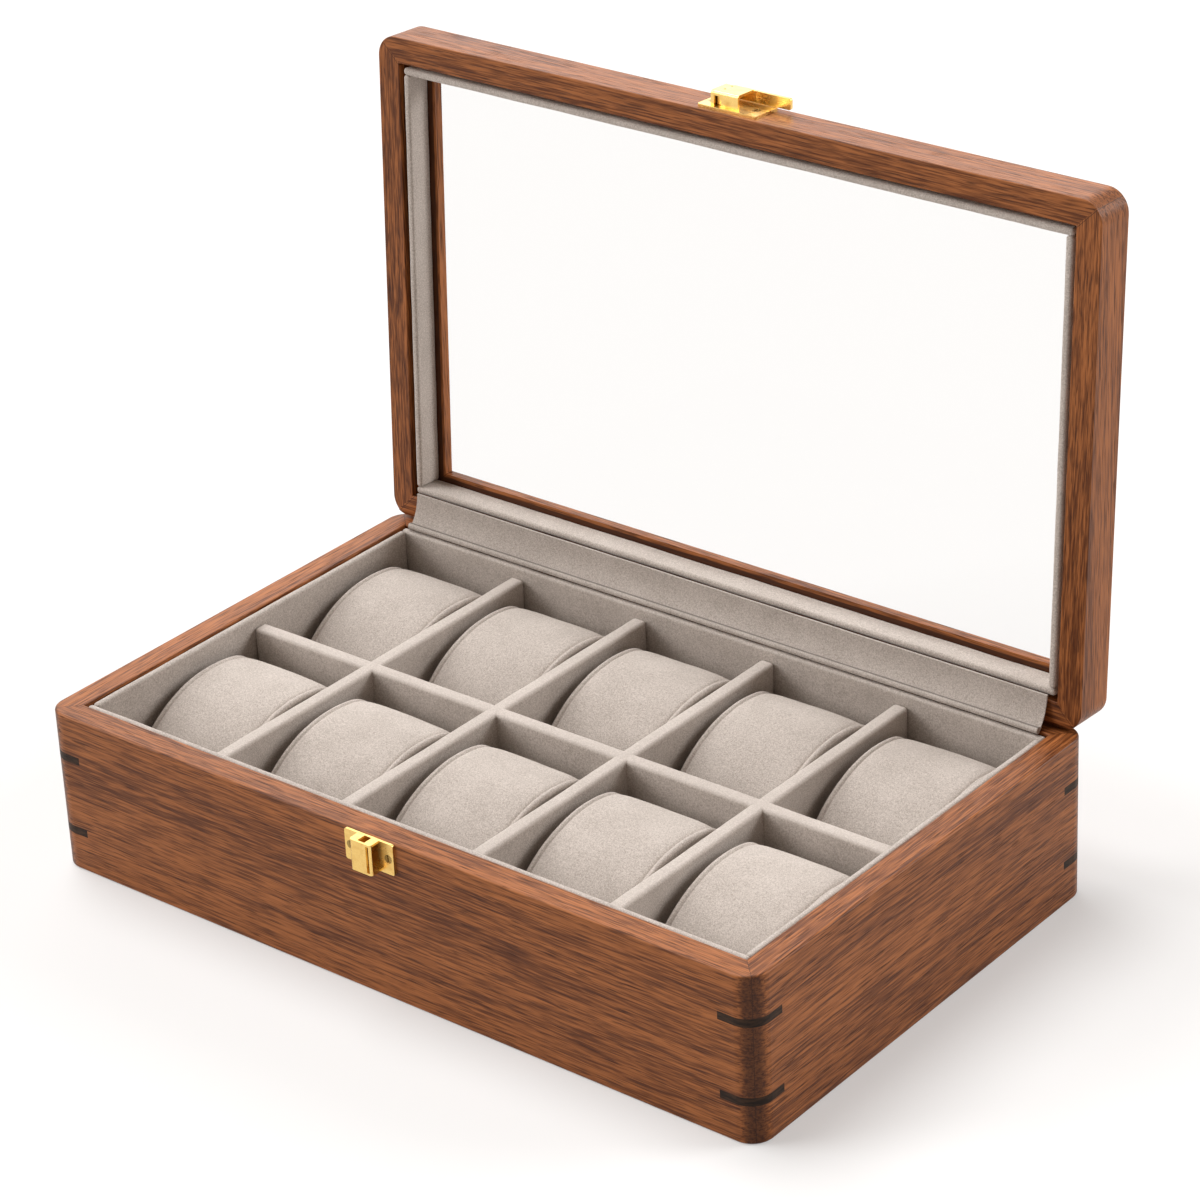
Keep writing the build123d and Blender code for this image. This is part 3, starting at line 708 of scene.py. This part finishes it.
stuffing = {
    "pressure": 4.0,
    "frames": 20,
    "mostSwell": 0.9 * mm,
    "quality": 6,
    "mass": 0.2,
    "stiffness": 12,
    "bending": (0.3, 0.1),  # of the first model, and how much more each next one has
    "footHold": 0.5 * mm,
    "seamReach": 3 * mm,
    "panelReach": (1.2 * mm, 1.6 * mm),
    "panelLength": 28 * mm,
    "panelHold": 0.35,
}


def stuff(piece, seed):
    # the wrap and the end panels swell between the seams, which are held
    held = piece.vertex_groups.new(name="seams")
    seam = stuffing["seamReach"]
    near, far = stuffing["panelReach"]
    for vertex in piece.data.vertices:
        reach = pillow["halfWidth"] - abs(vertex.co.x)
        low = vertex.co.z < stuffing["footHold"]
        hold = 1.0 if low else max(0.0, 1 - max(0.0, reach - seam) / seam)
        if near < reach < far and not low and abs(vertex.co.y) < stuffing["panelLength"]:
            hold = stuffing["panelHold"]
        if hold > 0:
            held.add([vertex.index], hold, "REPLACE")
    before = [vertex.co.copy() for vertex in piece.data.vertices]
    makeActive(piece)
    cloth = piece.modifiers.new("stuffing", "CLOTH")
    cloth.settings.use_pressure = True
    cloth.settings.uniform_pressure_force = stuffing["pressure"]
    cloth.settings.effector_weights.gravity = 0
    cloth.settings.quality = stuffing["quality"]
    cloth.settings.mass = stuffing["mass"]
    cloth.settings.tension_stiffness = stuffing["stiffness"]
    cloth.settings.compression_stiffness = stuffing["stiffness"]
    bending, more = stuffing["bending"]
    cloth.settings.bending_stiffness = bending + more * seed
    cloth.settings.vertex_group_mass = "seams"
    cloth.point_cache.frame_start = 1
    cloth.point_cache.frame_end = stuffing["frames"]
    for step in range(1, stuffing["frames"] + 1):
        scene.frame_set(step)
    bpy.ops.object.modifier_apply(modifier=cloth.name)
    scene.frame_set(1)
    furthest = 0.0
    for vertex, start in zip(piece.data.vertices, before):
        move = vertex.co - start
        furthest = max(furthest, move.length)
        if move.length > stuffing["mostSwell"]:
            vertex.co = start + move.normalized() * stuffing["mostSwell"]
    print("pillow swell, mm:", round(furthest / mm, 2))
    piece.vertex_groups.clear()


lumps = {
    "height": 0.5 * mm,
    "broad": (45, 0.5),
    "small": (110, 0.18),
    "shift": (0.31, 0.17, 0.07),
    "foot": 6 * mm,
    "middle": 15 * mm,
}


def softenPillow(piece, seed):
    # hand-stuffed unevenness, a little different on each pillow
    shift = Vector(lumps["shift"]) * seed
    (broad, broadShare), (small, smallShare) = lumps["broad"], lumps["small"]
    for vertex in piece.data.vertices:
        lump = noise.noise(vertex.co * broad + shift) * broadShare
        lump += noise.noise(vertex.co * small + shift) * smallShare
        rise = min(1.0, max(0.0, vertex.co.z / lumps["foot"]))
        outward = Vector((0, vertex.co.y, vertex.co.z - lumps["middle"])).normalized()
        vertex.co += outward * lump * lumps["height"] * rise


random.seed(pillow["seed"])
pillowModels = []
for seed in range(2):
    model = modelPillow()
    stuff(model, seed)
    pillowModels.append(model)
for number, name in enumerate(sorted(name for name in nodes if name.startswith("pillow_"))):
    low, high = [Vector(corner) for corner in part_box(name)]
    piece = pillowModels[number % 2].copy()
    piece.data = piece.data.copy()
    piece.name = f"suede_{name}"
    scene.collection.objects.link(piece)
    softenPillow(piece, number)
    turn = Matrix.Rotation(math.radians(random.uniform(-pillow["turn"], pillow["turn"])), 4, "Z")
    nudge = Vector((*(random.uniform(-most, most) for most in pillow["nudge"]), 0))
    foot = Vector(((low.x + high.x) / 2, (low.y + high.y) / 2, low.z))
    piece.data.transform(Matrix.Translation(foot + nudge) @ turn)
    smoother = piece.modifiers.new("smoother", "SUBSURF")
    smoother.levels = 1
    smoother.render_levels = 1
    applyModifiers(piece)
    makeActive(piece)
    bpy.ops.object.shade_smooth()
    piece.data.materials.append(pillowSuede)
    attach(piece, name)
    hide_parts(name)
for model in pillowModels:
    bpy.data.objects.remove(model)
print("pillows done")


# The flap over the hinge line: a rolled bead on the lining and a band up to the lid

flap = {
    "bead": 1.3 * mm,
    "lap": 1.1 * mm,
    "crease": 20,  # the bead's roll starts and ends at these angles
    "tuck": 310,
    "turns": 14,
    "creaseShadeRise": 1.95,  # over the bead's foot, in radii of the bead
    "band": 0.9 * mm,
    "topInset": 0.05 * mm,
    "bandSteps": 7,
    "bow": (0.9 * mm, -0.5 * mm),
    "backBow": 0.9,
    "wave": 0.22 * mm,
    "waveScale": 60,
    "smooth": 50,
    "bendEnd": 2 * mm,
    "step": 6 * mm,
}
flapLow, flapHigh = [Vector(corner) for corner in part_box("hinge_flap")]
# the line of painted crease shade on the flap
flapCreaseShade = (flapLow.y + flap["bead"], flapLow.z + flap["creaseShadeRise"] * flap["bead"])
flapSuede = suedeCloth("flapSuede", crease=flapCreaseShade)


def modelFlap():
    beadY = flapLow.y + flap["bead"]
    beadZ = flapLow.z + flap["bead"]
    top = Vector((flapHigh.y, flapHigh.z + flap["lap"]))
    # the outline, seen from the right: round the bead, then up the front of the band and down its back
    points = []
    for step in range(flap["turns"] + 1):
        angle = math.radians(flap["crease"] + (flap["tuck"] - flap["crease"]) * step / flap["turns"])
        points.append((beadY + flap["bead"] * math.cos(angle), beadZ + flap["bead"] * math.sin(angle)))
    foot = Vector(points[-1])
    start = Vector(points[0])
    backTop = Vector((top.x - flap["topInset"], top.y))
    frontTop = Vector((top.x - flap["band"], top.y))
    bow = Vector(flap["bow"])
    steps = flap["bandSteps"]
    back = [foot.lerp(backTop, step / steps) + bow * math.sin(math.pi * step / steps) * flap["backBow"]
            for step in range(1, steps + 1)]
    front = [frontTop.lerp(start, step / steps) + bow * math.sin(math.pi * step / steps)
             for step in range(steps)]
    outline = points + [tuple(point) for point in back] + [tuple(point) for point in front]
    bpy.ops.mesh.primitive_circle_add(vertices=len(outline), radius=1, fill_type="NGON")
    piece = bpy.context.object
    piece.name = "suede_hinge_flap"
    for vertex, (y, z) in zip(piece.data.vertices, outline):
        vertex.co = (flapLow.x, y, z)
    makeActive(piece)
    bpy.ops.object.mode_set(mode="EDIT")
    bpy.ops.mesh.select_all(action="SELECT")
    bpy.ops.mesh.extrude_region_move(TRANSFORM_OT_translate={"value": (flapHigh.x - flapLow.x, 0, 0)})
    bpy.ops.mesh.select_all(action="SELECT")
    bpy.ops.mesh.normals_make_consistent(inside=False)
    bpy.ops.object.mode_set(mode="OBJECT")
    pickEdges(piece, lambda edge: along(edge, Vector((1, 0, 0))))
    bpy.ops.mesh.subdivide(number_cuts=int((flapHigh.x - flapLow.x) / flap["step"]))
    bpy.ops.object.mode_set(mode="OBJECT")
    for vertex in piece.data.vertices:
        wave = noise.noise(vertex.co * flap["waveScale"]) * flap["wave"]
        vertex.co.y -= max(0.0, wave)
    smoothShade(piece, flap["smooth"])
    piece.data.materials.append(flapSuede)
    roll = flap["bead"] * math.radians(flap["tuck"] - flap["crease"])
    return piece, roll + (frontTop - start).length


flapPiece, flapWidth = modelFlap()
print("flap width, mm:", round(flapWidth / mm, 1))
flapLow.y + 2 * flap["bead"]
flapLow.z + flap["bead"]
flapHigh.y - flap["band"]
flapHigh.z - flap["bendEnd"]
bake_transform(flapPiece)
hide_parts("hinge_flap")
print("flap done")

feltPiece = cover("felt_base", "underside_felt", "box", covering["felt"], feltCloth(),
                  covering["feltRipple"])
print("felt done")


# Floor, light and camera

stageSize = {"floor": 14.0, "shade": 0.55, "lift": 0.33}


def seenDirectly(tree):
    # 1 for what the camera sees, also in metal and through glass
    rays = tree.nodes.new("ShaderNodeLightPath")
    seen = Wire(tree, rays.outputs["Is Camera Ray"]) + Wire(tree, rays.outputs["Is Glossy Ray"])
    return (seen + Wire(tree, rays.outputs["Is Transmission Ray"])).over(0.0, 1.0)


def makeFloor():
    deselectAll()
    bpy.ops.mesh.primitive_plane_add(size=stageSize["floor"], location=(0, 0, 0))
    floor = bpy.context.object
    floor.name = "studio_floor"
    material = bpy.data.materials.new("studioFloor")
    material.use_nodes = True
    tree = material.node_tree
    tree.nodes.remove(tree.nodes["Principled BSDF"])
    matte = tree.nodes.new("ShaderNodeBsdfDiffuse")
    matte.inputs["Color"].default_value = (stageSize["shade"],) * 3 + (1,)
    glow = tree.nodes.new("ShaderNodeEmission")
    tree.links.new((seenDirectly(tree) * stageSize["lift"]).socket, glow.inputs["Strength"])
    both = tree.nodes.new("ShaderNodeAddShader")
    tree.links.new(matte.outputs[0], both.inputs[0])
    tree.links.new(glow.outputs[0], both.inputs[1])
    tree.links.new(both.outputs[0], tree.nodes["Material Output"].inputs["Surface"])
    floor.data.materials.append(material)


light = {
    "ambient": 0.23,
    "ambientTone": (1.0, 0.81, 0.66),
    "key": {"strength": 2.5, "spread": 38, "from": (-0.42, 0.06, 1.0)},
    "back": {"strength": 0.55, "spread": 42, "from": (-0.58, 0.68, 0.46)},
    "left": {"strength": 1.6, "spread": 30, "from": (-0.80, -0.60, 0.45)},
    "right": {"strength": 1.75, "spread": 30, "from": (0.70, 0.75, 0.45)},
}


def makeSun(name, settings):
    sun = bpy.data.lights.new(name, "SUN")
    sun.energy = settings["strength"]
    sun.angle = math.radians(settings["spread"])
    lamp = bpy.data.objects.new(name, sun)
    lamp.rotation_mode = "QUATERNION"
    lamp.rotation_quaternion = Vector(settings["from"]).to_track_quat("Z", "Y")
    scene.collection.objects.link(lamp)


def makeWorld():
    world = bpy.data.worlds.new("studio")
    scene.world = world
    world.use_nodes = True
    tree = world.node_tree
    tone = seenDirectly(tree).mixed(toned(light["ambientTone"], light["ambient"]), (1, 1, 1))
    feed(tone, tree.nodes["Background"], "Color")


makeFloor()
makeWorld()
for name in ("key", "back", "left", "right"):
    makeSun(name, light[name])

view = {
    "place": (0.81198, -0.942338, 0.753009),
    "turn": 38.9644,
    "down": 26.4540,
    "lean": -2.3490,
    "focalPixels": 3979.22,
    "picture": 1200,
    "sensor": 36.0,
    "shift": -0.05,
    "farthest": 50,
}


def makeCamera():
    turn, down, lean = (math.radians(view[name]) for name in ("turn", "down", "lean"))
    ahead = Vector((-math.sin(turn) * math.cos(down), math.cos(turn) * math.cos(down), -math.sin(down)))
    right = Vector((math.cos(turn), math.sin(turn), 0))
    up = right.cross(ahead)
    tiltedRight = right * math.cos(lean) + up * math.sin(lean)
    tiltedUp = up * math.cos(lean) - right * math.sin(lean)
    data = bpy.data.cameras.new("photoView")
    data.sensor_width = view["sensor"]
    data.lens = view["focalPixels"] / view["picture"] * view["sensor"]
    data.shift_x = view["shift"]
    data.shift_y = view["shift"]
    data.clip_end = view["farthest"]
    camera = bpy.data.objects.new("photoView", data)
    turned = Matrix((tiltedRight, tiltedUp, -ahead)).transposed()
    camera.matrix_world = Matrix.Translation(view["place"]) @ turned.to_4x4()
    scene.collection.objects.link(camera)
    scene.camera = camera


makeCamera()
scene.view_settings.view_transform = "Standard"
print("stage, light and camera done")

deselectAll()
